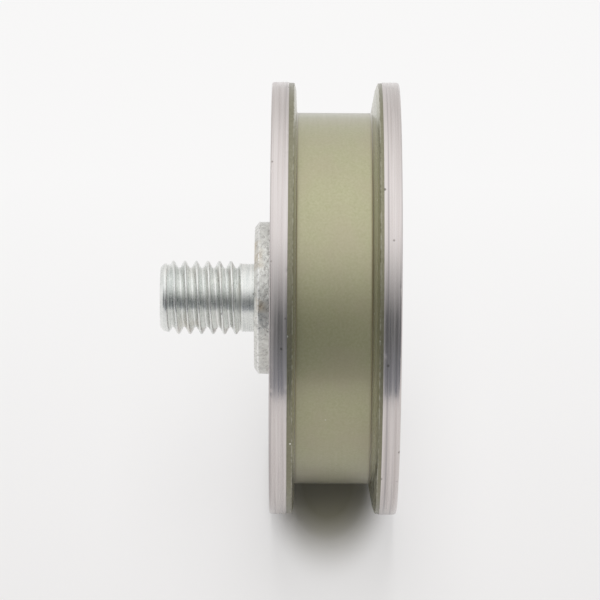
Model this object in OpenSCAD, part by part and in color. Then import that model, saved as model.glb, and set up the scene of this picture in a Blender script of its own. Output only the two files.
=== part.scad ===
// Track wheel with a flat-bottomed groove. It turns on a shielded ball bearing around a fixed
// stud with an M8 thread. The axis is Z: the plain side face lies at z = 0 and the stud points up.
// Sizes are millimetres.

/* [Wheel] */
// Outer diameter over the two flanges
wheel_d = 47; // [45:0.5:60]
// Width over the two side faces
wheel_w = 13.75; // [13.5:0.05:16]
// Diameter of the groove's flat floor
floor_d = 40.3; // [38:0.1:42]
// Width of the bright turned land on the plain-side flange
land_plain_w = 1.9; // [1.5:0.05:2.2]
// Width of the bright turned land on the stud-side flange
land_stud_w = 1.87; // [1.5:0.05:2.2]
// Width of the coated land beside the bright one, plain side
coated_plain_w = 0.38; // [0.2:0.02:0.8]
// Width of the coated land beside the bright one, stud side
coated_stud_w = 0.56; // [0.2:0.02:0.8]
// How far the coated lands lie below the bright ones
land_step = 0.08; // [0.02:0.01:0.2]
// Axial run of the groove's wall, plain side
wall_plain_run = 0.69; // [0.2:0.01:1.2]
// Axial run of the groove's wall, stud side
wall_stud_run = 0.42; // [0.2:0.01:1.2]
// Radius where the groove's walls meet its floor
floor_fillet = 0.3; // [0.1:0.05:0.6]
// Radius of the flanges' outer edges
rim_round = 0.25; // [0.1:0.05:0.5]

/* [Wheel bore] */
// Thickness of the lip that stops the bearing, stud side
lip_t = 1.35; // [1:0.05:1.8]
// Diameter of the hole through the lip
lip_hole_d = 26; // [25.6:0.1:27.5]
// Chamfer at the mouth of the bore and of the lip's hole
bore_chamfer = 0.5; // [0.2:0.05:0.6]
// Thickness of the retaining ring
circlip_t = 1.2; // [1:0.05:1.3]
// Depth of the retaining ring's groove, on the radius
circlip_groove_h = 0.7; // [0.5:0.05:1]
// Spare width of the retaining ring's groove
circlip_play = 0.1; // [0.05:0.01:0.15]
// Radial width of the retaining ring opposite its gap
circlip_back_w = 3; // [2.4:0.1:3.6]
// Radial width of the retaining ring beside its lugs
circlip_end_w = 2; // [1.6:0.1:2.4]
// Diameter of each lug
circlip_lug_d = 4.8; // [4.4:0.1:5]
// How far the lugs stand in from the ring's outer edge
circlip_lug_inset = 0.2; // [0.1:0.05:0.4]
// Diameter of the plier hole in each lug
circlip_hole_d = 2; // [1.6:0.1:2.2]
// Gap between the two lugs
circlip_gap = 4; // [3:0.1:5]

/* [Bearing] */
// Bore diameter of the bearing
bearing_bore_d = 10; // [9:0.1:11]
// Outer diameter of the bearing
bearing_d = 30; // [29.5:0.1:31]
// Width of the bearing
bearing_w = 9; // [8.8:0.1:9.6]
// Diameter of the circle that the balls' centres lie on
pitch_d = 20; // [19.8:0.05:20.2]
// Diameter of a ball
ball_d = 4.762; // [4.6:0.01:4.85]
// Height of both rings' shoulders over the bottom of their raceways
shoulder_h = 0.85; // [0.75:0.01:0.95]
// Radius of both raceways as a share of the ball's diameter
raceway_share = 0.52; // [0.51:0.005:0.53]
// Corner chamfer of the rings
ring_chamfer = 0.4; // [0.2:0.05:0.5]

/* [Shields] */
// Thickness of a shield's sheet
shield_t = 0.3; // [0.2:0.05:0.35]
// How far a shield's rim lies below the ring's side face
shield_inset = 0.45; // [0.4:0.05:0.5]
// Depth of the shield's groove in the outer ring, on the radius
shield_groove_h = 1.15; // [1:0.05:1.2]
// Height of the dish pressed into a shield
shield_dish = 0.2; // [0.1:0.05:0.25]

/* [Cage] */
// Sheet thickness of a cage half
cage_t = 0.45; // [0.3:0.05:0.5]
// Diameter of a cage rivet
rivet_d = 0.9; // [0.7:0.1:1]
// Diameter of a cage rivet's heads
rivet_head_d = 1.5; // [1.2:0.1:1.6]
// Height of a cage rivet's heads
rivet_head_h = 0.35; // [0.25:0.05:0.4]

/* [Stud] */
// Major diameter of the thread
thread_d = 8; // [7:0.5:9]
// Length of the thread with its tip
thread_len = 9.1; // [8:0.1:30]
// Chamfer at the tip of the thread
tip_chamfer = 0.75; // [0.4:0.05:1]
// Diameter of the plain shank between thread and collar
shank_d = 7.4; // [6.5:0.1:7.9]
// Length of the plain shank
shank_len = 1.07; // [0.8:0.01:5]
// Diameter of the collar
collar_d = 16.6; // [15:0.1:16.8]
// How far the collar stands out of the wheel's side face
collar_out = 1.81; // [1:0.05:5]
// Radius of the collar's outer edge
collar_round = 0.45; // [0.2:0.05:0.7]
// Diameter of the spread head at the riveted tail
tail_head_d = 12.6; // [11.8:0.1:13.5]
// Height of the spread head at the riveted tail
tail_head_h = 1.3; // [1:0.05:1.4]
// Diameter of the tail washer
washer_d = 16; // [14.5:0.1:16.5]
// Thickness of the tail washer
washer_t = 1; // [0.8:0.05:1.1]

/* [Clearances] */
// Radial gap at seats that are pressed or pushed together
seat_gap = 0.01; // [0.005:0.005:0.02]
// Gap between a ball and a raceway
raceway_gap = 0.02; // [0.01:0.005:0.03]
// Gap between a ball and its cage pocket
pocket_gap = 0.1; // [0.05:0.01:0.15]
// Gap between the cage and the shoulders of each ring
cage_gap = 0.45; // [0.3:0.05:0.6]
// Gap between a shield and the inner ring
shield_gap = 0.25; // [0.15:0.05:0.3]
// Gap between the retaining ring and the floor of its groove
circlip_gap_r = 0.05; // [0.02:0.01:0.1]

/* [Hidden] */
ball_count = 8;
wheel_r = wheel_d / 2;
floor_r = floor_d / 2;
land_r = wheel_r - land_step;
// where the groove begins and ends along the axis, at its floor
floor_z0 = land_plain_w + coated_plain_w + wall_plain_run;
floor_z1 = wheel_w - land_stud_w - coated_stud_w - wall_stud_run;
// the bearing lies against the lip
bearing_z1 = wheel_w - lip_t;
bearing_z0 = bearing_z1 - bearing_w;
bearing_mid = (bearing_z0 + bearing_z1) / 2;
bearing_r = bearing_d / 2;
journal_r = bearing_bore_d / 2;
pitch_r = pitch_d / 2;
ball_r = ball_d / 2;
raceway_r = raceway_share * ball_d;
race_reach = ball_r + raceway_gap;
// the shoulders of the inner and of the outer ring
inner_r = pitch_r - race_reach + shoulder_h;
outer_r = pitch_r + race_reach - shoulder_h;
circlip_r = bearing_r + circlip_groove_h;
// a shield's seat and the mouth that holds it, on the outer ring
shield_seat_r = outer_r + shield_groove_h;
shield_mouth_r = shield_seat_r - shield_t;
shield_z = bearing_w / 2 - shield_inset;
collar_z = wheel_w + collar_out;
thread_z0 = collar_z + shank_len;
stud_z = thread_z0 + thread_len;
pocket_r = ball_r + pocket_gap;
// the cage fills the room between the rings' shoulders
cage_in_r = inner_r + cage_gap;
cage_out_r = outer_r - cage_gap;
cage_mid_r = (cage_in_r + cage_out_r) / 2;
// how far a cut runs past the face that it opens
past = 1;
$fn = 96;

// Points of an arc about c from angle a0 to a1.
function arc(c, r, a0, a1, steps = 6) =
    [for (i = [0:steps]) let (a = a0 + (a1 - a0) * i / steps) c + r * [cos(a), sin(a)]];

// The round between the groove's floor and a wall that leans outwards by `run` over its height.
// side is 1 at the plain side and -1 at the stud side.
function floor_arc(z, run, side) =
    let (
        lean = atan(run / (land_r - floor_r)),
        reach = floor_fillet / tan((90 + lean) / 2),
        c = [floor_r + floor_fillet, z + side * reach]
    )
    side > 0 ? arc(c, floor_fillet, 270 - lean, 180) : arc(c, floor_fillet, 180, 90 + lean);

// The wheel's section: half a profile on the X side, the axis along Y.
module wheel_section() {
    edge = wheel_r - rim_round;
    lip_r = lip_hole_d / 2;
    circlip_z = bearing_z0 - circlip_t - circlip_play;
    polygon(concat(
        [[bearing_r + bore_chamfer, 0]],
        arc([edge, rim_round], rim_round, -90, 0),
        [
            [wheel_r, land_plain_w],
            [land_r, land_plain_w],
            [land_r, land_plain_w + coated_plain_w]
        ],
        floor_arc(floor_z0, wall_plain_run, 1),
        floor_arc(floor_z1, wall_stud_run, -1),
        [
            [land_r, wheel_w - land_stud_w - coated_stud_w],
            [land_r, wheel_w - land_stud_w],
            [wheel_r, wheel_w - land_stud_w]
        ],
        arc([edge, wheel_w - rim_round], rim_round, 0, 90),
        [
            [lip_r + bore_chamfer, wheel_w],
            [lip_r, wheel_w - bore_chamfer],
            [lip_r, bearing_z1],
            [bearing_r, bearing_z1],
            [bearing_r, bearing_z0],
            [circlip_r, bearing_z0],
            [circlip_r, circlip_z],
            [bearing_r, circlip_z],
            [bearing_r, bore_chamfer]
        ]
    ));
}

module wheel_body() {
    color([0.62, 0.61, 0.53]) rotate_extrude() wheel_section();
}

// Thread, shank, collar, journal and tail are one cold-headed piece. The thread is a plain
// cylinder at its major diameter.
module axle_stud() {
    tail_z = bearing_z0 - washer_t;
    head_r = tail_head_d / 2;
    thread_r = thread_d / 2;
    color([0.80, 0.81, 0.80]) rotate_extrude() polygon(concat(
        [
            [0, tail_z - tail_head_h],
            [head_r - tail_head_h / 2, tail_z - tail_head_h],
            [head_r, tail_z - tail_head_h / 2],
            [head_r, tail_z],
            [journal_r - seat_gap, tail_z],
            [journal_r - seat_gap, bearing_z1],
            [collar_d / 2, bearing_z1]
        ],
        arc([collar_d / 2 - collar_round, collar_z - collar_round], collar_round, 0, 90),
        [
            [shank_d / 2, collar_z],
            [shank_d / 2, thread_z0],
            [thread_r, thread_z0 + (thread_d - shank_d) / 2],
            [thread_r, stud_z - tip_chamfer],
            [thread_r - tip_chamfer, stud_z],
            [0, stud_z]
        ]
    ));
}

module tail_washer() {
    color([0.70, 0.71, 0.70])
        translate([0, 0, bearing_z0 - washer_t]) difference() {
            cylinder(h = washer_t, d = washer_d);
            translate([0, 0, -past]) cylinder(h = washer_t + 2 * past, r = journal_r);
        }
}

// A ring's outline between radii a and b, with corners cut by cut_a and cut_b.
module ring_section(a, b, cut_a, cut_b) {
    h = bearing_w / 2;
    polygon([
        [a + cut_a, -h], [b - cut_b, -h], [b, -h + cut_b],
        [b, h - cut_b], [b - cut_b, h], [a + cut_a, h],
        [a, h - cut_a], [a, -h + cut_a]
    ]);
}

module inner_ring() {
    color([0.75, 0.76, 0.78])
        translate([0, 0, bearing_mid]) rotate_extrude() difference() {
            ring_section(journal_r, inner_r, ring_chamfer, ring_chamfer / 2);
            translate([pitch_r - race_reach + raceway_r, 0]) circle(raceway_r);
        }
}

module outer_ring() {
    color([0.72, 0.73, 0.75])
        translate([0, 0, bearing_mid]) rotate_extrude() difference() {
            ring_section(outer_r, bearing_r - seat_gap, ring_chamfer / 2, ring_chamfer);
            translate([pitch_r + race_reach - raceway_r, 0]) circle(raceway_r);
            // a groove for each shield's rim, and the narrower mouth that it snaps through
            for (side = [0, 1]) mirror([0, side]) translate([outer_r - past, shield_z - shield_t]) {
                square([shield_seat_r - outer_r + past, shield_t]);
                square([shield_mouth_r - outer_r + past, shield_t + shield_inset + past]);
            }
        }
}

module ball(k) {
    color([0.85, 0.86, 0.88])
        rotate([0, 0, 360 * (k - 1) / ball_count])
            translate([pitch_r, 0, bearing_mid]) sphere(ball_r);
}

// One half of the ribbon cage, on the positive side of the balls' plane.
module cage_half() {
    difference() {
        intersection() {
            union() {
                cylinder(h = cage_t, r = cage_out_r + past);
                for (k = [1:ball_count])
                    rotate([0, 0, 360 * (k - 1) / ball_count])
                        translate([pitch_r, 0, 0]) sphere(pocket_r + cage_t);
            }
            difference() {
                cylinder(h = pocket_r + cage_t + past, r = cage_out_r);
                translate([0, 0, -past])
                    cylinder(h = pocket_r + cage_t + 3 * past, r = cage_in_r);
            }
        }
        for (k = [1:ball_count]) rotate([0, 0, 360 * (k - 1) / ball_count]) {
            translate([pitch_r, 0, 0]) sphere(pocket_r);
            rotate([0, 0, 180 / ball_count]) translate([cage_mid_r, 0, -past])
                cylinder(h = 2 * past + cage_t, d = rivet_d, $fn = 24);
        }
    }
}

module cage_upper() {
    color([0.66, 0.66, 0.64]) translate([0, 0, bearing_mid]) cage_half();
}

module cage_lower() {
    color([0.66, 0.66, 0.64])
        translate([0, 0, bearing_mid]) mirror([0, 0, 1]) cage_half();
}

module cage_rivet() {
    grip = cage_t + rivet_head_h;
    color([0.78, 0.78, 0.76]) {
        translate([0, 0, -grip]) cylinder(h = 2 * grip, d = rivet_d - 2 * seat_gap, $fn = 24);
        for (z = [-grip, cage_t])
            translate([0, 0, z]) cylinder(h = rivet_head_h, d = rivet_head_d, $fn = 24);
    }
}

module cage_rivets() {
    for (k = [1:ball_count])
        rotate([0, 0, 360 * (k - 0.5) / ball_count])
            translate([cage_mid_r, 0, bearing_mid]) cage_rivet();
}

// A shield's section: the rim sits in the ring's groove and the middle is dished outwards.
module shield() {
    rim_r = shield_seat_r - seat_gap;
    eye_r = inner_r + shield_gap;
    bend_r = outer_r - shield_dish;
    color([0.64, 0.65, 0.66]) rotate_extrude() polygon([
        [eye_r, shield_z - shield_t + shield_dish],
        [bend_r - shield_dish, shield_z - shield_t + shield_dish],
        [bend_r, shield_z - shield_t],
        [rim_r, shield_z - shield_t],
        [rim_r, shield_z],
        [bend_r + shield_dish / 2, shield_z],
        [bend_r - shield_dish / 2, shield_z + shield_dish],
        [eye_r, shield_z + shield_dish]
    ]);
}

module shield_upper() {
    translate([0, 0, bearing_mid]) shield();
}

module shield_lower() {
    translate([0, 0, bearing_mid]) mirror([0, 0, 1]) shield();
}

// Internal retaining ring: wider at its back, with two lugs and plier holes beside the gap.
module retaining_ring() {
    out_r = circlip_r - circlip_gap_r;
    in_d = 2 * out_r - circlip_back_w - circlip_end_w;
    shift = (circlip_back_w - circlip_end_w) / 2;
    lug_mid = out_r - circlip_lug_inset - circlip_lug_d / 2;
    lug_turn = asin((circlip_gap / 2 + circlip_lug_d / 2) / lug_mid);
    color([0.30, 0.31, 0.33])
        translate([0, 0, bearing_z0 - circlip_t]) difference() {
            union() {
                difference() {
                    cylinder(h = circlip_t, r = out_r);
                    translate([shift, 0, -past]) cylinder(h = circlip_t + 2 * past, d = in_d);
                    translate([0, -circlip_gap / 2 - circlip_lug_d / 2, -past])
                        cube([out_r + past, circlip_gap + circlip_lug_d, circlip_t + 2 * past]);
                }
                for (side = [-1, 1]) rotate([0, 0, side * lug_turn])
                    translate([lug_mid, 0, 0]) cylinder(h = circlip_t, d = circlip_lug_d);
            }
            for (side = [-1, 1]) rotate([0, 0, side * lug_turn])
                translate([lug_mid, 0, -past])
                    cylinder(h = circlip_t + 2 * past, d = circlip_hole_d, $fn = 32);
        }
}

wheel_body();
axle_stud();
tail_washer();
inner_ring();
outer_ring();
for (k = [1:ball_count]) ball(k);
cage_upper();
cage_lower();
cage_rivets();
shield_upper();
shield_lower();
retaining_ring();
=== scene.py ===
import math
import random

import bmesh
import bpy
from mathutils import Matrix, Vector


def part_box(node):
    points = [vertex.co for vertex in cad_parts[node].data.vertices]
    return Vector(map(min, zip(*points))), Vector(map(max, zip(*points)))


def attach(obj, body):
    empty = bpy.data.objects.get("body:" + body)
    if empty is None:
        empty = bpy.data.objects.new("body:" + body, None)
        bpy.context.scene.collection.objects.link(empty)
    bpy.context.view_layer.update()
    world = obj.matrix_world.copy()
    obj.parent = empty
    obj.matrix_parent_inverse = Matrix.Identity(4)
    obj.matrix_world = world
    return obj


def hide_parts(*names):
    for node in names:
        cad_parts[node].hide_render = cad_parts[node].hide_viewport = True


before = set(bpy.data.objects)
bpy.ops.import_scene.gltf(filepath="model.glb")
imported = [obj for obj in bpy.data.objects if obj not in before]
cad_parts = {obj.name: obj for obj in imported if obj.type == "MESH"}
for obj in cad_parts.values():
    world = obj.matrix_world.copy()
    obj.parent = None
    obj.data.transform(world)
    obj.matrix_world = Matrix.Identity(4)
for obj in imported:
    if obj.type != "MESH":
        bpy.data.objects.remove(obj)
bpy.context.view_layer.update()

mm = 0.001
crispAngle = math.radians(32)    # turned edges sharper than this stay crisp
print("frame loaded:", len(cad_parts), "CAD nodes")


def linear(hexColour):
    # sRGB hex to the linear colour that shaders take
    parts = [int(hexColour[i:i + 2], 16) / 255 for i in (1, 3, 5)]
    return tuple(c / 12.92 if c <= 0.04045 else ((c + 0.055) / 1.055) ** 2.4 for c in parts) + (1.0,)


def addNode(tree, kind, links=None, **settings):
    # one node, its settings, and what goes into its sockets: a socket, a node, a hex colour or a value
    node = tree.nodes.new(kind)
    for name, value in settings.items():
        setattr(node, name, value)
    for socket, value in (links or {}).items():
        if isinstance(value, bpy.types.Node):
            value = next(out for out in value.outputs if out.enabled)
        if isinstance(value, bpy.types.NodeSocket):
            tree.links.new(value, node.inputs[socket])
        else:
            node.inputs[socket].default_value = linear(value) if isinstance(value, str) else value
    return node


def addObject(name, data):
    # an object at the origin, linked to the scene
    made = bpy.data.objects.new(name, data)
    bpy.context.scene.collection.objects.link(made)
    return made


def roundedPath(corners, closed):
    # corners are (radius, height, fillet) in mm; each fillet becomes a short arc
    points = []
    count, arcSteps = len(corners), 5
    for i, (r, z, fillet) in enumerate(corners):
        here = Vector((r, z))
        ends = not closed and i in (0, count - 1)
        if fillet <= 0 or ends:
            points.append(here)
            continue
        before = (Vector(corners[i - 1][:2]) - here).normalized()
        after = (Vector(corners[(i + 1) % count][:2]) - here).normalized()
        half = before.angle(after) / 2
        reach = fillet / math.tan(half)
        centre = here + (before + after).normalized() * (fillet / math.sin(half))
        start, end = here + before * reach - centre, here + after * reach - centre
        turn = start.angle_signed(end)
        for k in range(arcSteps + 1):
            a = -turn * k / arcSteps
            points.append(centre + Vector((start.x * math.cos(a) - start.y * math.sin(a),
                                           start.x * math.sin(a) + start.y * math.cos(a))))
    return points


def lathe(name, path, closed, sides):
    # turns a path of (radius, height) in mm about Z into a closed, outward-facing mesh
    shape = bmesh.new()
    rings = []
    for p in path:
        if p.x < 1e-9:           # a point on the axis is one vertex, not a ring
            rings.append([shape.verts.new((0, 0, p.y * mm))])
        else:
            rings.append([shape.verts.new((p.x * mm * math.cos(2 * math.pi * k / sides),
                                           p.x * mm * math.sin(2 * math.pi * k / sides),
                                           p.y * mm)) for k in range(sides)])
    pairs = list(zip(rings, rings[1:] + rings[:1])) if closed else list(zip(rings, rings[1:]))
    for low, high in pairs:
        for k in range(sides):
            j = (k + 1) % sides
            corners = [low[k % len(low)], low[j % len(low)], high[j % len(high)], high[k % len(high)]]
            corners = [v for n, v in enumerate(corners) if v not in corners[:n]]
            if len(corners) > 2:
                shape.faces.new(corners)
    bmesh.ops.recalc_face_normals(shape, faces=shape.faces)
    mesh = bpy.data.meshes.new(name)
    shape.to_mesh(mesh)
    shape.free()
    mesh.shade_smooth()
    return addObject(name, mesh)


def newMaterial(name):
    # an empty material, its node tree and the Object coordinates
    material = bpy.data.materials.new(name)
    material.use_nodes = True
    tree = material.node_tree
    tree.nodes.clear()
    return material, tree, addNode(tree, "ShaderNodeTexCoord").outputs["Object"]


def metalSurface(tree, sockets):
    # the shader that every metal here ends in
    shader = addNode(tree, "ShaderNodeBsdfPrincipled", sockets)
    addNode(tree, "ShaderNodeOutputMaterial", {"Surface": shader})


# Noise stays mostly between these two values, so most patterns below are spread between them.
noiseLow, noiseHigh = 0.3, 0.7


def turnedLines(tree, where, lineWidth, runLength):
    # noise drawn out along the cut: lineWidth across the marks and runLength along them, in mm.
    # radius is added to height, so the marks ring the flat faces as they ring the rims
    parts = addNode(tree, "ShaderNodeSeparateXYZ", {0: where}).outputs
    flat = addNode(tree, "ShaderNodeVectorMath", {0: where, 1: (1, 1, 0)}, operation="MULTIPLY")
    radius = addNode(tree, "ShaderNodeVectorMath", {0: flat}, operation="LENGTH")
    across = addNode(tree, "ShaderNodeMath", {0: radius, 1: parts["Z"]}, operation="ADD")
    spread = addNode(tree, "ShaderNodeCombineXYZ", {"X": parts["X"], "Y": parts["Y"], "Z": across})
    run, width = 1 / (runLength * mm), 1 / (lineWidth * mm)
    drawn = addNode(tree, "ShaderNodeVectorMath", {0: spread, 1: (run, run, width)}, operation="MULTIPLY")
    return addNode(tree, "ShaderNodeTexNoise", {"Vector": drawn, "Scale": 1.0, "Detail": 3.0, "Roughness": 0.6})


def specks(tree, where, spacing, size, share):
    # 1 inside sparse round dots: space is cut into cells of this spacing, and this share of them holds
    # a dot, which fades out between 0.4 and 0.7 of this size from its middle; both are in mm
    cells = addNode(tree, "ShaderNodeTexVoronoi", {"Vector": where, "Scale": 1 / (spacing * mm)})
    dot = addNode(tree, "ShaderNodeMapRange", {"Value": cells.outputs["Distance"], "From Min": size / spacing * 0.7,
                                               "From Max": size / spacing * 0.4})
    chance = addNode(tree, "ShaderNodeSeparateColor", {0: cells.outputs["Color"]}).outputs[0]
    chosen = addNode(tree, "ShaderNodeMath", {0: chance, 1: share}, operation="LESS_THAN")
    return addNode(tree, "ShaderNodeMath", {0: dot, 1: chosen}, operation="MULTIPLY")


def nearHeight(tree, where, level, width, most):
    # the most at a level on the axis, falling to nothing at this width above and below it, in mm
    height = addNode(tree, "ShaderNodeSeparateXYZ", {0: where}).outputs["Z"]
    gap = addNode(tree, "ShaderNodeMath", {0: height, 1: level * mm}, operation="SUBTRACT")
    gap = addNode(tree, "ShaderNodeMath", {0: gap}, operation="ABSOLUTE")
    return addNode(tree, "ShaderNodeMapRange", {"Value": gap, "From Max": width * mm, "To Min": most, "To Max": 0.0})


# Free-cutting steel, turned and left bare: bright grey with fine rings from the tool, a broad
# highlight across them, a few scored rings, and some dark pits from handling. Sizes are in mm.
# The tool's rings are about 0.1 apart, which is too fine to show, so the broad ones are drawn at 0.3.
turnedSteelLooks = {
    "light": "#e2dcda", "dark": "#cbc4c2", "score": "#8d898b", "pit": "#8a8480",
    "roughness": (0.16, 0.4), "anisotropy": 0.6,
    "lineWidth": 0.3, "fineWidth": 0.1, "lineRun": 30, "fineRun": 15,
    "scoreWidth": 0.42, "scoreRun": 90, "scored": 0.5,
    "pitSpacing": 1.5, "pitSize": 0.27, "pitShare": 0.3,
    "relief": 0.006,
}


def turnedSteel():
    looks = turnedSteelLooks
    smoothest, roughest = looks["roughness"]
    material, tree, where = newMaterial("turned_steel")
    lines = turnedLines(tree, where, looks["lineWidth"], looks["lineRun"])
    fine = turnedLines(tree, where, looks["fineWidth"], looks["fineRun"])
    scores = turnedLines(tree, where, looks["scoreWidth"], looks["scoreRun"])
    light = addNode(tree, "ShaderNodeMapRange", {"Value": lines, "From Min": 0.34, "From Max": 0.66})
    tone = addNode(tree, "ShaderNodeMix", {"Factor": light, 6: looks["dark"], 7: looks["light"]}, data_type="RGBA")
    cut = addNode(tree, "ShaderNodeMapRange", {"Value": scores, "From Min": 0.58, "From Max": 0.7,
                                               "To Max": looks["scored"]})
    tone = addNode(tree, "ShaderNodeMix", {"Factor": cut, 6: tone, 7: looks["score"]}, data_type="RGBA")
    pits = specks(tree, where, looks["pitSpacing"], looks["pitSize"], looks["pitShare"])
    tone = addNode(tree, "ShaderNodeMix", {"Factor": pits, 6: tone, 7: looks["pit"]}, data_type="RGBA")
    height = addNode(tree, "ShaderNodeMath", {0: fine, 1: lines}, operation="ADD")
    bump = addNode(tree, "ShaderNodeBump", {"Height": height, "Strength": 0.5, "Distance": looks["relief"] * mm})
    rough = addNode(tree, "ShaderNodeMapRange", {"Value": lines, "From Min": 0.32, "From Max": 0.68,
                                                 "To Min": smoothest, "To Max": roughest})
    tangent = addNode(tree, "ShaderNodeTangent", direction_type="RADIAL", axis="Z")
    metalSurface(tree, {"Base Color": tone, "Metallic": 1.0, "Roughness": rough, "Normal": bump, "Tangent": tangent,
                        "Anisotropic": looks["anisotropy"], "Anisotropic Rotation": 0.25})
    return material


# Zinc with an olive chromate, as it came from the bath: a satin yellow-green film on metal with a
# faint grain, a light coat of oil and a pale bloom at grazing angles. A browner line is painted in the
# groove's corners as shade; the film is worn pale along sharp edges and carries a few pale specks of dust. Sizes are
# in mm.
# The real grain is a few hundredths across, so it is drawn coarser to show.
oliveLooks = {
    # corner is the brown of the painted shade line in the groove's corners
    "light": "#b3b18e", "dark": "#a8a682", "patch": "#b0a68c", "corner": "#7d6f4c", "paleEdgeLine": "#e2dfcf",
    "speck": "#e9e8de",
    "metal": 0.6, "oil": 1.0, "sheen": 0.7, "roughness": (0.35, 0.45),
    "grainSize": 0.24, "patchSize": 4, "patched": 0.5, "lineWidth": 0.3, "lineRun": 10,
    "cornerShadeWidth": 0.26, "cornerShading": 0.75,       # how strongly the corners are darkened with painted shade
    "wornWidth": 0.12, "chipSize": 0.5, "chipped": 0.45,
    "dustSpacing": 1.0, "dustSize": 0.2, "dust": 0.012,
    "relief": 0.01,
}
# painted shade: the two flanks lie in each other's shade, so they get a greyer, greener copy of the film's colour
shadedFlankOliveLooks = {**oliveLooks, "light": "#b3b29b", "dark": "#a3a289", "patch": "#a8a792", "metal": 0.72,
                   "roughness": (0.22, 0.32), "oil": 0.35, "sheen": 0.07, "dust": 0.25}
# on the narrow lands the film is thin and rubbed, so the colour is greyer and more metal shows
rubbedOliveLooks = {**oliveLooks, "light": "#918e79", "dark": "#7e7c66", "patch": "#898670", "metal": 0.66,
                    "roughness": (0.26, 0.36), "oil": 0.1, "sheen": 0.35, "dust": 0.2}


def oliveChromate(name, looks, shadedCornerLevels=(), wornLevels=()):
    # the levels are heights in mm where a browner line is painted as shade in a corner, and where the film's edge is
    # worn
    smoothest, roughest = looks["roughness"]
    material, tree, where = newMaterial(name)
    mottle = addNode(tree, "ShaderNodeTexNoise", {"Vector": where, "Scale": 1 / (looks["patchSize"] * mm),
                                                  "Detail": 2.0})
    fine = addNode(tree, "ShaderNodeTexNoise", {"Vector": where, "Scale": 1 / (looks["grainSize"] * mm),
                                                "Detail": 3.0})
    lines = turnedLines(tree, where, looks["lineWidth"], looks["lineRun"])
    light = addNode(tree, "ShaderNodeMapRange", {"Value": fine, "From Min": noiseLow, "From Max": noiseHigh})
    tone = addNode(tree, "ShaderNodeMix", {"Factor": light, 6: looks["dark"], 7: looks["light"]}, data_type="RGBA")
    patches = addNode(tree, "ShaderNodeMapRange", {"Value": mottle, "From Min": 0.38, "From Max": 0.7,
                                                   "To Max": looks["patched"]})
    tone = addNode(tree, "ShaderNodeMix", {"Factor": patches, 6: tone, 7: looks["patch"]}, data_type="RGBA")
    # painted shade: a darker, browner line along each corner of the groove
    for level in shadedCornerLevels:
        near = nearHeight(tree, where, level, looks["cornerShadeWidth"], looks["cornerShading"])
        tone = addNode(tree, "ShaderNodeMix", {"Factor": near, 6: tone, 7: looks["corner"]}, data_type="RGBA")
    for level in wornLevels:
        # a sharp edge is worn to pale metal in a thin line that comes and goes
        chips = addNode(tree, "ShaderNodeTexNoise", {"Vector": where, "Scale": 1 / (looks["chipSize"] * mm),
                                                     "Detail": 2.0})
        chips = addNode(tree, "ShaderNodeMapRange", {"Value": chips, "From Min": 0.42, "From Max": 0.62,
                                                     "To Max": looks["chipped"]})
        near = nearHeight(tree, where, level, looks["wornWidth"], 1.0)
        paleEdgeLine = addNode(tree, "ShaderNodeMath", {0: near, 1: chips}, operation="MULTIPLY")
        tone = addNode(tree, "ShaderNodeMix", {"Factor": paleEdgeLine, 6: tone, 7: looks["paleEdgeLine"]}, data_type="RGBA")
    dust = specks(tree, where, looks["dustSpacing"], looks["dustSize"], looks["dust"])
    tone = addNode(tree, "ShaderNodeMix", {"Factor": dust, 6: tone, 7: looks["speck"]}, data_type="RGBA")
    relief = addNode(tree, "ShaderNodeMath", {0: fine, 1: lines}, operation="ADD")
    bump = addNode(tree, "ShaderNodeBump", {"Height": relief, "Strength": 0.6, "Distance": looks["relief"] * mm})
    rough = addNode(tree, "ShaderNodeMapRange", {"Value": lines, "From Min": noiseLow, "From Max": noiseHigh,
                                                 "To Min": smoothest, "To Max": roughest})
    metalSurface(tree, {"Base Color": tone, "Metallic": looks["metal"], "Roughness": rough, "Normal": bump,
                        "Coat Weight": looks["oil"], "Coat Roughness": 0.2, "Sheen Weight": looks["sheen"],
                        "Sheen Roughness": 0.3})
    return material


# Bright zinc plate on a rolled thread: silvery with a cool tint, faint streaks along the turn where
# the dies slid, a fine crystalline grain, and a little yellow stain. Sizes are in mm.
# The real crystals are a few hundredths across, so they are drawn coarser to show.
zincLooks = {
    # ridge is the white of the painted highlight along a ridge
    "light": "#f8f9f6", "dark": "#d6dad8", "stain": "#b99d72", "pit": "#8c8d8a", "ridge": "#ffffff",
    "metal": 1.0, "roughness": (0.2, 0.35),
    "grainSize": 0.28, "dentSize": 0.6, "streakWidth": 0.16, "streakRun": 5, "streaks": 0.75,
    "patchSize": 4, "stained": 0.14, "ridgeHighlightWidth": 0.1,
    "pitSpacing": 1.3, "pitSize": 0.2, "pitShare": 0.3,
    "relief": 0.012,
}
# the collar was squashed against a die and tumbled, so its plate is duller, rougher and crinkled
dullZincLooks = {**zincLooks, "light": "#ebebe6", "dark": "#c6c6c2", "roughness": (0.23, 0.38), "relief": 0.08,
                 "metal": 0.88, "grainSize": 0.46, "streaks": 0.1, "stained": 0.6}


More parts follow.
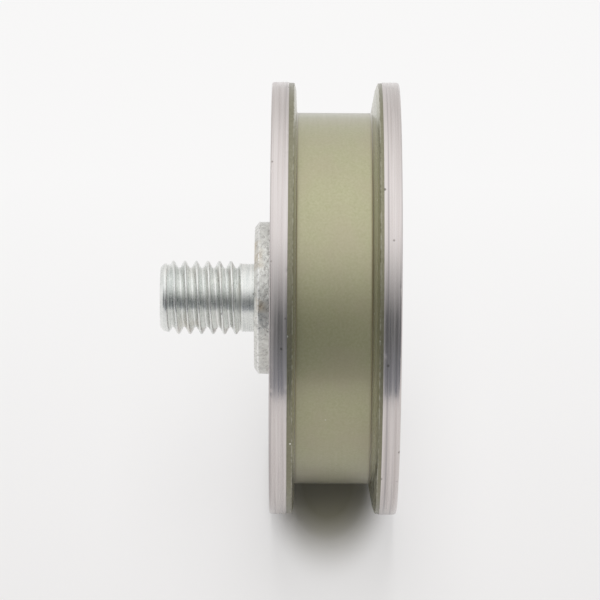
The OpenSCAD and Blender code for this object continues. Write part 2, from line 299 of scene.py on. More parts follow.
def zincPlate(name, looks, highlightLevels=()):
    # the levels are heights in mm where a painted highlight runs along a ridge, a thin white line broken up by the
    # grain
    smoothest, roughest = looks["roughness"]
    material, tree, where = newMaterial(name)
    grains = addNode(tree, "ShaderNodeTexNoise", {"Vector": where, "Scale": 1 / (looks["grainSize"] * mm),
                                                  "Detail": 3.0, "Distortion": 0.6})
    streaks = turnedLines(tree, where, looks["streakWidth"], looks["streakRun"])
    fine = addNode(tree, "ShaderNodeMix", {"Factor": looks["streaks"], 2: grains, 3: streaks})
    dents = addNode(tree, "ShaderNodeTexNoise", {"Vector": where, "Scale": 1 / (looks["dentSize"] * mm),
                                                 "Detail": 1.0})
    patches = addNode(tree, "ShaderNodeTexNoise", {"Vector": where, "Scale": 1 / (looks["patchSize"] * mm),
                                                   "Detail": 2.0})
    light = addNode(tree, "ShaderNodeMapRange", {"Value": fine, "From Min": 0.34, "From Max": 0.62})
    tone = addNode(tree, "ShaderNodeMix", {"Factor": light, 6: looks["dark"], 7: looks["light"]}, data_type="RGBA")
    stained = addNode(tree, "ShaderNodeMapRange", {"Value": patches, "From Min": 0.58, "From Max": 0.72,
                                                   "To Max": looks["stained"]})
    tone = addNode(tree, "ShaderNodeMix", {"Factor": stained, 6: tone, 7: looks["stain"]}, data_type="RGBA")
    # painted highlight along each ridge
    for level in highlightLevels:
        near = nearHeight(tree, where, level, looks["ridgeHighlightWidth"], 1.0)
        paleEdgeLine = addNode(tree, "ShaderNodeMath", {0: near, 1: light}, operation="MULTIPLY")
        tone = addNode(tree, "ShaderNodeMix", {"Factor": paleEdgeLine, 6: tone, 7: looks["ridge"]}, data_type="RGBA")
    pits = specks(tree, where, looks["pitSpacing"], looks["pitSize"], looks["pitShare"])
    tone = addNode(tree, "ShaderNodeMix", {"Factor": pits, 6: tone, 7: looks["pit"]}, data_type="RGBA")
    relief = addNode(tree, "ShaderNodeMath", {0: fine, 1: dents}, operation="ADD")
    bump = addNode(tree, "ShaderNodeBump", {"Height": relief, "Strength": 0.6, "Distance": looks["relief"] * mm})
    rough = addNode(tree, "ShaderNodeMapRange", {"Value": fine, "From Min": noiseLow, "From Max": noiseHigh,
                                                 "To Min": smoothest, "To Max": roughest})
    metalSurface(tree, {"Base Color": tone, "Metallic": looks["metal"], "Roughness": rough, "Normal": bump})
    return material


# The bearing's steels. Rings: hardened chrome steel, ground bright with very fine rings. Balls: lapped,
# near mirrors under a film of oil. Cage and shields: cold-rolled strip, pressed, with a soft grain.
# Circlip: spring steel under manganese phosphate, nearly black and matt, a little rusty on its high spots.
# All have broad, faint patches of a second tint. Sizes are in mm, and the grinder's rings and the strip's
# grain are drawn several times as coarse as they are, so that they show.
bearingBase = {"metal": 1.0, "patchSize": 2.5, "patched": 0.35}
bearingLooks = {
    "ground_bearing_steel": {**bearingBase, "light": "#d8d9da", "dark": "#bdbfc2", "tint": "#b5b7ba",
                             "roughness": 0.2, "lineWidth": 0.12, "lineRun": 20, "relief": 0.003},
    "lapped_ball_steel": {**bearingBase, "light": "#dcdddf", "dark": "#cfd0d3", "tint": "#c5c3bd",
                          "roughness": 0.08, "grainSize": 1.2, "relief": 0.0005},
    "pressed_cage_steel": {**bearingBase, "light": "#c9c8c2", "dark": "#a5a49f", "tint": "#9b9a94",
                           "roughness": 0.34, "grainSize": 0.3, "relief": 0.01},
    "rolled_shield_steel": {**bearingBase, "light": "#bcbec0", "dark": "#9fa1a3", "tint": "#94969a",
                            "roughness": 0.3, "grainSize": 0.3, "relief": 0.01},
    "phosphated_spring_steel": {**bearingBase, "light": "#4c4a47", "dark": "#2c2b2b", "tint": "#5d4636",
                                "roughness": 0.55, "grainSize": 0.2, "relief": 0.015, "metal": 0.4},
}


def bearingSteel(name):
    looks = bearingLooks[name]
    smoothest, roughest = looks["roughness"] * 0.85, looks["roughness"] * 1.3
    material, tree, where = newMaterial(name)
    if "lineWidth" in looks:
        fine = turnedLines(tree, where, looks["lineWidth"], looks["lineRun"])
    else:
        fine = addNode(tree, "ShaderNodeTexNoise", {"Vector": where, "Scale": 1 / (looks["grainSize"] * mm),
                                                    "Detail": 3.0})
    broad = addNode(tree, "ShaderNodeTexNoise", {"Vector": where, "Scale": 1 / (looks["patchSize"] * mm),
                                                 "Detail": 2.0})
    light = addNode(tree, "ShaderNodeMapRange", {"Value": fine, "From Min": noiseLow, "From Max": noiseHigh})
    tone = addNode(tree, "ShaderNodeMix", {"Factor": light, 6: looks["dark"], 7: looks["light"]}, data_type="RGBA")
    tinted = addNode(tree, "ShaderNodeMapRange", {"Value": broad, "From Min": 0.54, "From Max": 0.76,
                                                  "To Max": looks["patched"]})
    tone = addNode(tree, "ShaderNodeMix", {"Factor": tinted, 6: tone, 7: looks["tint"]}, data_type="RGBA")
    bump = addNode(tree, "ShaderNodeBump", {"Height": fine, "Strength": 0.5, "Distance": looks["relief"] * mm})
    rough = addNode(tree, "ShaderNodeMapRange", {"Value": fine, "From Min": noiseLow, "From Max": noiseHigh,
                                                 "To Min": smoothest, "To Max": roughest})
    metalSurface(tree, {"Base Color": tone, "Metallic": looks["metal"], "Roughness": rough, "Normal": bump})
    return material


wheelSizes = {
    "floorRadius": 20.17, "floorFillet": 0.16,
    "landPlain": 1.9, "landStud": 1.87,          # bright lands on the rims
    "coatedPlain": 0.38, "coatedStud": 0.56,     # olive lands beside them
    "landStep": 0.08, "landEdge": 0.04,          # the step down to those, and the fillet above it
    "wallPlain": 0.74, "wallStud": 0.3,          # how far each wall leans out
    "leadIn": (0.14, 0.75), "leadShare": 0.2, "leadFillet": 0.3,      # where each flank leaves its land
    "edgePlain": 0.28, "edgeStud": ((0.5, 0, 0.4), (0, 0.05, 0.2)),   # stud side as (along, inward, fillet)
    "lip": 1.35, "lipHole": 13, "chamfer": 0.5, "small": 0.12,
    "bearingRadius": 15, "bearingWidth": 9,
    "ringGroove": 0.7, "ringGrooveWidth": 1.3, "ringFillet": 0.05,
    "bareDepth": 0.045,          # how far the bare steel goes down the step
    "rubbedDepth": 0.1,          # how far the rubbed film goes down each flank
    "floorRise": 0.25,           # how far the floor's own finish climbs each flank
    "knocks": 64, "knockSeed": 11, "knockInset": 0.2,
    "knockReach": (0.18, 0.36), "knockDepth": (0.03, 0.07),
    "sides": 640, "rimSpacing": 0.2,
}


def makeWheel():
    w = wheelSizes
    low, high = (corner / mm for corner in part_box("wheel_body"))
    outer, width = high.x, high.z - low.z
    land, floor = outer - w["landStep"], w["floorRadius"]
    landLow, landHigh = w["landPlain"], width - w["landStud"]
    flankLow, flankHigh = landLow + w["coatedPlain"], landHigh - w["coatedStud"]
    floorLow, floorHigh = flankLow + w["wallPlain"], flankHigh - w["wallStud"]
    lipLow = width - w["lip"]
    seatLow = lipLow - w["bearingWidth"]
    grooveLow = seatLow - w["ringGrooveWidth"]
    bore, ringSeat, hole = w["bearingRadius"], w["bearingRadius"] + w["ringGroove"], w["lipHole"]
    edge, small, cut, tight = w["landEdge"], w["small"], w["chamfer"], w["ringFillet"]
    leadIn, leadDown = w["leadIn"]
    corners = [
        (bore + cut, 0, small),
        (outer, 0, w["edgePlain"]),
        (outer, landLow, edge),
        (land, landLow, 0),
        (land, flankLow, small),
        (land - leadDown, flankLow + leadIn + w["wallPlain"] * w["leadShare"], w["leadFillet"]),
        (floor, floorLow, w["floorFillet"]),
        (floor, floorHigh, w["floorFillet"]),
        (land - leadDown, flankHigh - leadIn - w["wallStud"] * w["leadShare"], w["leadFillet"]),
        (land, flankHigh, small),
        (land, landHigh, 0),
        (outer, landHigh, edge),
        *((outer - inward, width - along, fillet) for along, inward, fillet in w["edgeStud"]),
        (hole + cut, width, small),
        (hole, width - cut, small),
        (hole, lipLow, small),
        (bore, lipLow, 0),
        (bore, seatLow, tight),
        (ringSeat, seatLow, tight),
        (ringSeat, grooveLow, tight),
        (bore, grooveLow, tight),
        (bore, cut, small),
    ]
    path = roundedPath(corners, True)
    slack = 0.01                 # the middle of a face lies a hair inside the true radius
    # more rings across the rims, so that a knock stays where it is
    fine = []
    for here, after in zip(path, path[1:] + path[:1]):
        onRim = min(here.x, after.x) > land - slack
        cuts = max(1, round((after - here).length / w["rimSpacing"])) if onRim else 1
        fine += [here.lerp(after, k / cuts) for k in range(cuts)]
    wheel = lathe("wheel", fine, True, w["sides"])
    # small knocks along the sharp edges of both rims, pushed in towards the axis
    knocks = random.Random(w["knockSeed"])
    edges = [(outer, 0), (outer, landLow), (outer, landHigh), (outer, width - w["knockInset"])]
    for k in range(w["knocks"]):
        turn, (r, z), reach = knocks.uniform(0, 2 * math.pi), edges[k % 4], knocks.uniform(*w["knockReach"])
        spot, depth = Vector((r * math.cos(turn), r * math.sin(turn), z)) * mm, knocks.uniform(*w["knockDepth"])
        for vert in wheel.data.vertices:
            near = 1 - (vert.co - spot).length / (reach * mm)
            if near > 0:
                inward = Vector((vert.co.x, vert.co.y, 0)).normalized()
                vert.co -= inward * depth * mm * near * near * (3 - 2 * near)
    floorLevels, flankLevels = (floorLow, floorHigh), (flankLow, flankHigh)
    # the floor and flank films both get the painted shade line in the floor's corners
    finishes = [turnedSteel(),
                oliveChromate("olive_chromate", oliveLooks, floorLevels),
                oliveChromate("rubbed_olive_chromate", rubbedOliveLooks, (), flankLevels),
                oliveChromate("flank_olive_chromate_painted_shade", shadedFlankOliveLooks, floorLevels, flankLevels)]
    for finish in finishes:
        wheel.data.materials.append(finish)
    steel, onFloor, onLand, onFlank = range(len(finishes))
    for face in wheel.data.polygons:
        middle = face.center / mm
        r = math.hypot(middle.x, middle.y)
        coated = landLow - slack < middle.z < landHigh + slack and floor - slack < r < outer - w["bareDepth"]
        if not coated:
            face.material_index = steel
        elif r > land - w["rubbedDepth"]:
            face.material_index = onLand
        elif r > floor + w["floorRise"]:
            face.material_index = onFlank
        else:
            face.material_index = onFloor
    wheel.data.set_sharp_from_angle(angle=crispAngle)
    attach(wheel, "wheel")
    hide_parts("wheel_body")


studSizes = {
    "shank": 3.7, "shankLength": 1.3, "threadOverlap": 0.2,           # the overlap lies inside the collar
    "collar": 8.27, "collarOut": 1.75, "collarBevel": (0.46, 0.62),   # the bevel along and inward
    "collarFillets": (0.15, 0.1, 0.3),           # underneath, at the ridge and at the bevel's inner edge
    "journal": 4.99, "journalFillet": 0.02,
    "tailHead": 6.3, "tailTaper": 0.65, "tailHeight": 1.3,
    "tailFillets": (0.4, 0.35, 0.1),             # from the end inwards
    "sides": 160,
}


def makeStud(dull):
    s = studSizes
    wheelHigh = (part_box("wheel_body")[1] / mm).z
    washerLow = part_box("tail_washer")[0].z / mm
    collarTop = wheelHigh + s["collarOut"]
    lipLow = wheelHigh - wheelSizes["lip"]
    bevelAlong, bevelIn = s["collarBevel"]
    underFillet, ridgeFillet, bevelFillet = s["collarFillets"]
    endFillet, sideFillet, rootFillet = s["tailFillets"]
    corners = [
        (0, washerLow - s["tailHeight"], 0),
        (s["tailHead"] - s["tailTaper"], washerLow - s["tailHeight"], endFillet),
        (s["tailHead"], washerLow - s["tailHeight"] / 2, sideFillet),
        (s["tailHead"], washerLow, rootFillet),
        (s["journal"], washerLow, 0),
        (s["journal"], lipLow, s["journalFillet"]),
        (s["collar"], lipLow, underFillet),
        (s["collar"], collarTop - bevelAlong, ridgeFillet),
        (s["collar"] - bevelIn, collarTop, bevelFillet),
        (0, collarTop, 0),
    ]
    stud = lathe("stud", roundedPath(corners, False), False, s["sides"])
    stud.data.materials.append(dull)
    stud.data.set_sharp_from_angle(angle=crispAngle)
    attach(stud, "axle")
    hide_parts("axle_stud")


threadSizes = {
    "major": 4.0, "root": 3.245, "pitch": 1.25,
    "crestHeight": 21.46,        # height of a crest at angle zero
    "flank": (0.16, 0.86),       # shares of the way from root to crest where a straight flank starts and ends
    "softFlank": (0.1, 0.93), "softness": 0.4,   # the same for a rounded one, and how much of it is mixed in
    "tipRadius": 3.3, "tipSlope": 1.0, "tipBlend": 0.25,
    "tipFormed": (0.7, 2.4),     # in run-outs from the tip: where the tooth starts and where it is full
    "runOut": 0.6,               # over this length the thread sinks into the shank
    "sides": 144, "steps": 190, "crispAngle": 50,
}


def threadTree(material):
    # a grid is wrapped round the axis, and its radius follows the helix
    tree = bpy.data.node_groups.new("rolledThread", "GeometryNodeTree")
    face = tree.interface
    face.new_socket("Geometry", in_out="INPUT", socket_type="NodeSocketGeometry")
    for name in ("Base Height", "Length", "Pitch", "Crest Height", "Major Radius", "Root Radius", "Shank Radius",
                 "Shank Length", "Run Out", "Tip Radius", "Tip Slope"):
        face.new_socket(name, in_out="INPUT", socket_type="NodeSocketFloat")
    for name in ("Sides", "Steps"):
        face.new_socket(name, in_out="INPUT", socket_type="NodeSocketInt")
    face.new_socket("Geometry", in_out="OUTPUT", socket_type="NodeSocketGeometry")
    place = addNode(tree, "ShaderNodeSeparateXYZ", {0: addNode(tree, "GeometryNodeInputPosition")}).outputs
    made = {socket.name: socket for socket in addNode(tree, "NodeGroupInput").outputs if socket.name != "Geometry"}
    made.update(x=place["X"], y=place["Y"])
    # each step has a name, what it does and what it takes: inputs, earlier steps or values
    t = threadSizes
    steps = [
        ("turn", "ADD", "x", 0.5),
        # two rows beyond each end close it with a flat face
        ("rows", "SUBTRACT", "Steps", 4),
        ("row", "DIVIDE", "Length", "rows"),
        ("whole", "MULTIPLY", "row", "Steps"),
        ("share", "ADD", "y", 0.5),
        ("reach", "MULTIPLY", "share", "whole"),
        ("margin", "MULTIPLY", "row", 2),
        ("along", "SUBTRACT", "reach", "margin"),
        ("above", "MAXIMUM", "along", 0.0),
        ("held", "MINIMUM", "above", "Length"),
        ("height", "ADD", "held", "Base Height"),
        # right-hand helix: the tooth is 0 at a root and 1 at a crest
        ("fromCrest", "SUBTRACT", "height", "Crest Height"),
        ("pitches", "DIVIDE", "fromCrest", "Pitch"),
        ("wound", "SUBTRACT", "pitches", "turn"),
        ("shifted", "ADD", "wound", 0.5),
        ("part", "FRACT", "shifted"),
        ("centred", "SUBTRACT", "part", 0.5),
        ("fromMiddle", "ABSOLUTE", "centred"),
        ("tooth", "MULTIPLY_ADD", "fromMiddle", -2, 1),
        ("beyondShank", "SUBTRACT", "held", "Shank Length"),
        ("runOutShare", "DIVIDE", "beyondShank", "Run Out"),
        ("toTip", "SUBTRACT", "Length", "held"),
        ("tipShare", "DIVIDE", "toTip", "Run Out"),
        ("tip", "MULTIPLY_ADD", "toTip", "Tip Slope", "Tip Radius"),
        ("depth", "SUBTRACT", "Major Radius", "Root Radius"),
        ("pastEnd", "SUBTRACT", "along", "held"),
        ("overEnd", "ABSOLUTE", "pastEnd"),
        ("rowsOver", "DIVIDE", "overEnd", "row"),
        ("angle", "MULTIPLY", "turn", 2 * math.pi),
        ("cosine", "COSINE", "angle"),
        ("sine", "SINE", "angle"),
        ("sidesMore", "ADD", "Sides", 1),
        ("stepsMore", "ADD", "Steps", 1),
        ("flank", "MAP", "tooth", *t["flank"], "LINEAR"),
        ("softFlank", "MAP", "tooth", *t["softFlank"], "SMOOTHSTEP"),
        ("grown", "MAP", "runOutShare", 0.0, 1.0, "SMOOTHSTEP"),
        ("formed", "MAP", "tipShare", *t["tipFormed"], "SMOOTHSTEP"),
        ("closed", "MAP", "rowsOver", 2.0, 0.0, "LINEAR"),
        ("soft", "MULTIPLY", "softFlank", t["softness"]),
        ("shape", "MULTIPLY_ADD", "flank", 1 - t["softness"], "soft"),
        ("cut", "MULTIPLY_ADD", "shape", "depth", "Root Radius"),
        # the thread sinks into the shank at one end and is only part formed at the other
        ("overShank", "SUBTRACT", "cut", "Shank Radius"),
        ("kept", "MULTIPLY", "grown", "formed"),
        ("body", "MULTIPLY_ADD", "kept", "overShank", "Shank Radius"),
        ("tapered", "SMOOTH_MIN", "body", "tip", t["tipBlend"] * mm),
        ("radius", "MULTIPLY", "tapered", "closed"),
        ("across", "MULTIPLY", "radius", "cosine"),
        ("upward", "MULTIPLY", "radius", "sine"),
    ]
    for name, operation, *parts in steps:
        if operation == "MAP":
            made[name] = addNode(tree, "ShaderNodeMapRange", {"Value": made[parts[0]], "From Min": parts[1],
                                                              "From Max": parts[2]}, interpolation_type=parts[3])
        else:
            terms = {k: made[part] if isinstance(part, str) else part for k, part in enumerate(parts)}
            made[name] = addNode(tree, "ShaderNodeMath", terms, operation=operation)
    grid = addNode(tree, "GeometryNodeMeshGrid", {"Size X": 1.0, "Size Y": 1.0, "Vertices X": made["sidesMore"],
                                                  "Vertices Y": made["stepsMore"]})
    spot = addNode(tree, "ShaderNodeCombineXYZ", {"X": made["across"], "Y": made["upward"], "Z": made["height"]})
    moved = addNode(tree, "GeometryNodeSetPosition", {"Geometry": grid, "Position": spot})
    merged = addNode(tree, "GeometryNodeMergeByDistance", {"Geometry": moved, "Distance": 0.002 * mm})
    smooth = addNode(tree, "GeometryNodeSetShadeSmooth", {"Geometry": merged})
    real = addNode(tree, "GeometryNodeRealizeInstances", {"Geometry": smooth})
    painted = addNode(tree, "GeometryNodeSetMaterial", {"Geometry": real, "Material": material})
    addNode(tree, "NodeGroupOutput", {0: painted})
    return tree


def bakedPiece(name, tree, values):
    # runs a node tree on an empty mesh and keeps the result as a plain mesh
    maker = addObject(name + "Maker", bpy.data.meshes.new(name + "Maker"))
    modifier = maker.modifiers.new("make", "NODES")
    modifier.node_group = tree
    for item in tree.interface.items_tree:
        if item.item_type == "SOCKET" and item.in_out == "INPUT" and item.name in values:
            modifier[item.identifier] = values[item.name]
    maker.update_tag()
    bpy.context.view_layer.update()
    seen = maker.evaluated_get(bpy.context.evaluated_depsgraph_get())
    mesh = bpy.data.meshes.new_from_object(seen)
    mesh.name = name
    maker.modifiers.clear()
    bpy.data.objects.remove(maker)
    shape = bmesh.new()
    shape.from_mesh(mesh)
    bmesh.ops.recalc_face_normals(shape, faces=shape.faces)
    shape.to_mesh(mesh)
    shape.free()
    return addObject(name, mesh)


def makeThread(zinc):
    t, s = threadSizes, studSizes
    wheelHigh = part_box("wheel_body")[1].z
    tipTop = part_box("axle_stud")[1].z
    base = wheelHigh + (s["collarOut"] - s["threadOverlap"]) * mm
    thread = bakedPiece("stud_thread", threadTree(zinc), {
        "Base Height": base, "Length": tipTop - base, "Pitch": t["pitch"] * mm, "Crest Height": t["crestHeight"] * mm,
        "Major Radius": t["major"] * mm, "Root Radius": t["root"] * mm, "Shank Radius": s["shank"] * mm,
        "Shank Length": (s["shankLength"] + s["threadOverlap"]) * mm, "Run Out": t["runOut"] * mm,
        "Tip Radius": t["tipRadius"] * mm, "Tip Slope": t["tipSlope"], "Sides": t["sides"], "Steps": t["steps"]})
    thread.data.set_sharp_from_angle(angle=math.radians(t["crispAngle"]))
    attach(thread, "axle")
    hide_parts("axle_stud")


def dressNodes(zinc):
    metals = {name: bearingSteel(name) for name in bearingLooks}
    metals["dull_zinc_plate"] = zinc
    finishes = {"inner_ring": "ground_bearing_steel", "outer_ring": "ground_bearing_steel",
                "cage_upper": "pressed_cage_steel", "cage_lower": "pressed_cage_steel",
                "cage_rivets": "pressed_cage_steel", "shield_upper": "rolled_shield_steel",
                "shield_lower": "rolled_shield_steel", "retaining_ring": "phosphated_spring_steel",
                "tail_washer": "dull_zinc_plate"}
    for name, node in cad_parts.items():
        finish = "lapped_ball_steel" if name.startswith("ball_") else finishes.get(name)
        if finish:
            for slot in node.material_slots:
                slot.material = metals[finish]


# The sheet of paper that the wheel stands on, with a painted glow and a painted shadow at the wheel's foot. Sizes are
# in mm.
paper = {
    "front": 82, "size": 1500, "colour": "#f7f5f4",
    # how much of a glowing pale sheet the camera and shiny parts see in place of the lit paper: a painted glow that
    # lifts the paper's shadows and shows in shiny parts as a painted reflection
    "cameraShare": 0.66, "shinyShare": 0.57,
    "back": "#fcfcfc", "ahead": "#eae9e9", "glowFalloff": (-70, 30),      # painted light falloff: that glowing sheet is paler behind the wheel than ahead of it
    # painted shadow at the wheel's foot: in an oval the paper's colour is darker and its glow fades out: how far aside
    # the oval lies, and its half length and width
    "paintedFootShadow": "#c4c1b0", "footShare": 0.035, "footAside": 0.5, "footLong": 12.5, "footWide": 4.6,
    "paintedFootShadowFade": (0.6, 1.0), "footShareFade": (0.85, 1.7),    # in sizes of the oval
}


def makeFloor(rim, middle):
    p = paper
    far, front = p["size"] * mm, p["front"] * mm
    mesh = bpy.data.meshes.new("floor")
    mesh.from_pydata([(-far, -rim, -far), (-far, -rim, far), (front, -rim, far), (front, -rim, -far)], [],
                     [(0, 1, 2, 3)])
    floor = addObject("floor", mesh)
    material, tree, where = newMaterial("pale_paper_painted_shadow")
    fromFoot = addNode(tree, "ShaderNodeVectorMath", {0: where, 1: (0, -rim, (middle + p["footAside"]) * mm)},
                       operation="SUBTRACT")
    oval = (1 / (p["footLong"] * mm), 0, 1 / (p["footWide"] * mm))
    fromFoot = addNode(tree, "ShaderNodeVectorMath", {0: fromFoot, 1: oval}, operation="MULTIPLY")
    away = addNode(tree, "ShaderNodeVectorMath", {0: fromFoot}, operation="LENGTH")
    # painted shadow: the glow fades towards footShare near the foot, so the paper's shadow shows there and is lifted
    # elsewhere
    nearest, farthest = p["footShareFade"]
    clear = addNode(tree, "ShaderNodeMapRange", {"Value": away, "From Min": nearest, "From Max": farthest,
                                                 "To Min": p["footShare"]}, interpolation_type="SMOOTHSTEP")
    ray = addNode(tree, "ShaderNodeLightPath").outputs
    direct = addNode(tree, "ShaderNodeMath", {0: ray["Is Camera Ray"], 1: ray["Is Transmission Ray"]},
                     operation="MAXIMUM")
    direct = addNode(tree, "ShaderNodeMath", {0: direct, 1: p["cameraShare"]}, operation="MULTIPLY")
    shown = addNode(tree, "ShaderNodeMath", {0: ray["Is Glossy Ray"], 1: p["shinyShare"], 2: direct},
                    operation="MULTIPLY_ADD")
    share = addNode(tree, "ShaderNodeMath", {0: shown, 1: clear}, operation="MULTIPLY")
    # painted light falloff: the glow is paler behind the wheel than ahead of it
    ahead = addNode(tree, "ShaderNodeSeparateXYZ", {0: where}).outputs["X"]
    behind, before = p["glowFalloff"]
    ahead = addNode(tree, "ShaderNodeMapRange", {"Value": ahead, "From Min": behind * mm, "From Max": before * mm})
    pale = addNode(tree, "ShaderNodeMix", {"Factor": ahead, 6: p["back"], 7: p["ahead"]}, data_type="RGBA")
    glow = addNode(tree, "ShaderNodeEmission", {"Color": pale})
    # painted shadow: the paper's colour darkens towards the middle of the oval at the foot
    nearest, farthest = p["paintedFootShadowFade"]
    footShadowMask = addNode(tree, "ShaderNodeMapRange", {"Value": away, "From Min": nearest, "From Max": farthest})
    colour = addNode(tree, "ShaderNodeMix", {"Factor": footShadowMask, 6: p["paintedFootShadow"], 7: p["colour"]}, data_type="RGBA")
    sheet = addNode(tree, "ShaderNodeBsdfDiffuse", {"Color": colour})
    lit = addNode(tree, "ShaderNodeMixShader", {0: share, 1: sheet, 2: glow})
    # seen from below, the sheet is clear, so it never hides the wheel
    back = addNode(tree, "ShaderNodeNewGeometry").outputs["Backfacing"]
    both = addNode(tree, "ShaderNodeMixShader", {0: back, 1: lit, 2: addNode(tree, "ShaderNodeBsdfTransparent")})
    addNode(tree, "ShaderNodeOutputMaterial", {"Surface": both})
    mesh.materials.append(material)


# A soft lamp overhead in a tent of white cloth that is open in front to a dark room. The lamp's sizes are in
# mm. A pair says where one part of the tent fades into the next, as a share of the unit direction that is
# looked in: X for the opening and the back wall, Y for the room and the roof, Z for the card.
tent = {
    "lampHeight": 400, "lampFront": -30, "lampLength": 1200, "lampWidth": 150, "lampPower": 2.2,
    "skyColour": "#f7f7f7", "plainLevel": 0.33,  # its strength as light; what is seen in gloss has strength 1
    "roof": (0.55, 0.95), "roofGain": 0.2,       # how much brighter shiny parts see it
    "backColour": "#d0cdca", "back": (-0.9, 0.0), "backShare": 0.45,
    "opening": (0.1, 0.45), "openingTop": 20, "cloth": 60,      # degrees up, from open to all cloth
    "roomDark": "#66696b", "roomPale": "#888c94", "room": (-0.3, 0.15),
    "cardSide": 0.32, "card": (0.1, 0.22), "cardDark": 0.55,
}


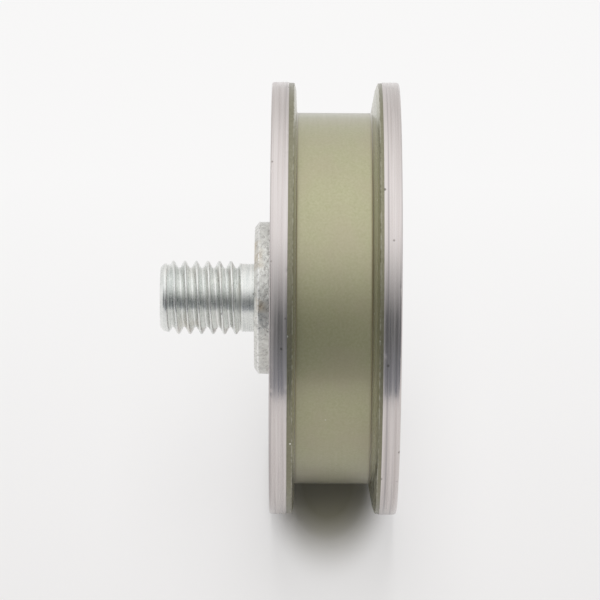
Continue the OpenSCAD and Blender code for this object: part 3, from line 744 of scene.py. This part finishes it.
def makeLight(middle, rim):
    t = tent
    lamp = bpy.data.lights.new("softbox", "AREA")
    lamp.shape = "RECTANGLE"
    lamp.size, lamp.size_y = t["lampLength"] * mm, t["lampWidth"] * mm
    lamp.energy = t["lampPower"]
    box = addObject("softbox", lamp)
    above = Matrix.Translation((t["lampFront"] * mm, t["lampHeight"] * mm - rim, middle * mm))
    box.matrix_world = above @ Matrix.Rotation(math.radians(-90), 4, "X")
    # the tent's walls are what shiny parts show, so the lamp only adds its soft light
    box.visible_glossy = False

    world = bpy.data.worlds.new("lightTent")
    world.use_nodes = True
    tree = world.node_tree
    tree.nodes.clear()
    ray = addNode(tree, "ShaderNodeLightPath").outputs
    way = addNode(tree, "ShaderNodeSeparateXYZ", {0: addNode(tree, "ShaderNodeTexCoord").outputs["Generated"]}).outputs
    # the opening in front, which is dark
    start, end = t["opening"]
    ahead = addNode(tree, "ShaderNodeMapRange", {"Value": way["X"], "From Min": start, "From Max": end})
    start, end = (math.sin(math.radians(degrees)) for degrees in (t["openingTop"], t["cloth"]))
    under = addNode(tree, "ShaderNodeMapRange", {"Value": way["Y"], "From Min": start, "From Max": end,
                                                 "To Min": 1.0, "To Max": 0.0})
    opening = addNode(tree, "ShaderNodeMath", {0: ahead, 1: under}, operation="MULTIPLY")
    # a strip of white card stands in the opening, on the stud's side
    beside = addNode(tree, "ShaderNodeMath", {0: way["Z"], 1: t["cardSide"]}, operation="SUBTRACT")
    beside = addNode(tree, "ShaderNodeMath", {0: beside}, operation="ABSOLUTE")
    start, end = t["card"]
    beside = addNode(tree, "ShaderNodeMapRange", {"Value": beside, "From Min": start, "From Max": end,
                                                  "To Min": t["cardDark"]})
    opening = addNode(tree, "ShaderNodeMath", {0: opening, 1: beside}, operation="MULTIPLY")
    # fully dark for gloss, half as dark for soft light, and not there for the camera
    depth = addNode(tree, "ShaderNodeMath", {0: ray["Is Glossy Ray"], 1: 0.5, 2: 0.5}, operation="MULTIPLY_ADD")
    hidden = addNode(tree, "ShaderNodeMath", {0: depth, 1: ray["Is Camera Ray"]}, operation="SUBTRACT", use_clamp=True)
    opening = addNode(tree, "ShaderNodeMath", {0: opening, 1: hidden}, operation="MULTIPLY")
    # to shiny parts, the back wall is a little less bright than the rest
    start, end = t["back"]
    fall = addNode(tree, "ShaderNodeMapRange", {"Value": way["X"], "From Min": start, "From Max": end,
                                                "To Min": t["backShare"], "To Max": 0.0})
    fall = addNode(tree, "ShaderNodeMath", {0: fall, 1: ray["Is Glossy Ray"]}, operation="MULTIPLY")
    sky = addNode(tree, "ShaderNodeMix", {"Factor": fall, 6: t["skyColour"], 7: t["backColour"]}, data_type="RGBA")
    start, end = t["room"]
    low = addNode(tree, "ShaderNodeMapRange", {"Value": way["Y"], "From Min": start, "From Max": end})
    room = addNode(tree, "ShaderNodeMix", {"Factor": low, 6: t["roomPale"], 7: t["roomDark"]}, data_type="RGBA")
    sky = addNode(tree, "ShaderNodeMix", {"Factor": opening, 6: sky, 7: room}, data_type="RGBA")
    shown = addNode(tree, "ShaderNodeMath", {0: ray["Is Camera Ray"], 1: ray["Is Glossy Ray"]}, operation="MAXIMUM")
    shown = addNode(tree, "ShaderNodeMath", {0: shown, 1: ray["Is Transmission Ray"]}, operation="MAXIMUM")
    plain = addNode(tree, "ShaderNodeBackground", {"Color": sky, "Strength": t["plainLevel"]})
    start, end = t["roof"]
    roof = addNode(tree, "ShaderNodeMapRange", {"Value": way["Y"], "From Min": start, "From Max": end,
                                                "To Max": t["roofGain"]})
    gain = addNode(tree, "ShaderNodeMath", {0: roof, 1: ray["Is Glossy Ray"], 2: 1.0}, operation="MULTIPLY_ADD")
    seen = addNode(tree, "ShaderNodeBackground", {"Color": sky, "Strength": gain})
    mixed = addNode(tree, "ShaderNodeMixShader", {0: shown, 1: plain, 2: seen})
    addNode(tree, "ShaderNodeOutputWorld", {"Surface": mixed})
    bpy.context.scene.world = world


# The camera looks square at the rims, from in front and above. Sizes are in mm.
view = {
    "tilt": 30, "roll": 0.4,     # degrees above the floor's plane, and degrees of lean
    "distance": 420.65, "lens": 231.6, "sensor": 36,
    "aimAlong": 10.565, "aimBelow": 0.21,        # the aim's place along the wheel's axis, and below it
    "clipStart": 10,
}


def makeCamera():
    tilt, roll = math.radians(view["tilt"]), math.radians(view["roll"])
    away = Vector((math.cos(tilt), math.sin(tilt), 0))
    up = Vector((-math.sin(tilt), math.cos(tilt), 0))
    right = Vector((0, 0, -1))
    place = away * view["distance"] * mm + Vector((0, 0, view["aimAlong"] * mm)) - up * view["aimBelow"] * mm
    turnedRight = right * math.cos(roll) + up * math.sin(roll)
    turnedUp = up * math.cos(roll) - right * math.sin(roll)
    lens = bpy.data.cameras.new("camera")
    lens.lens = view["lens"]
    lens.sensor_width = view["sensor"]
    lens.clip_start = view["clipStart"] * mm
    camera = addObject("camera", lens)
    camera.matrix_world = Matrix.Translation(place) @ Matrix((turnedRight, turnedUp, away)).transposed().to_4x4()
    bpy.context.scene.camera = camera


brightZinc = zincPlate("bright_zinc_plate", zincLooks)
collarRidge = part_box("wheel_body")[1].z / mm + studSizes["collarOut"] - studSizes["collarBevel"][0]
# the collar's ridge gets a painted highlight
dullZinc = zincPlate("dull_zinc_plate", dullZincLooks, (collarRidge,))
makeWheel()
print("wheel made")
makeStud(dullZinc)
makeThread(brightZinc)
print("stud and thread made")
dressNodes(dullZinc)
print("bearing dressed")
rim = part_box("wheel_body")[1].x
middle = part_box("wheel_body")[1].z / mm / 2
makeFloor(rim, middle)
makeLight(middle, rim)
makeCamera()
bpy.context.scene.view_settings.view_transform = "Standard"
print("floor, light and camera set")
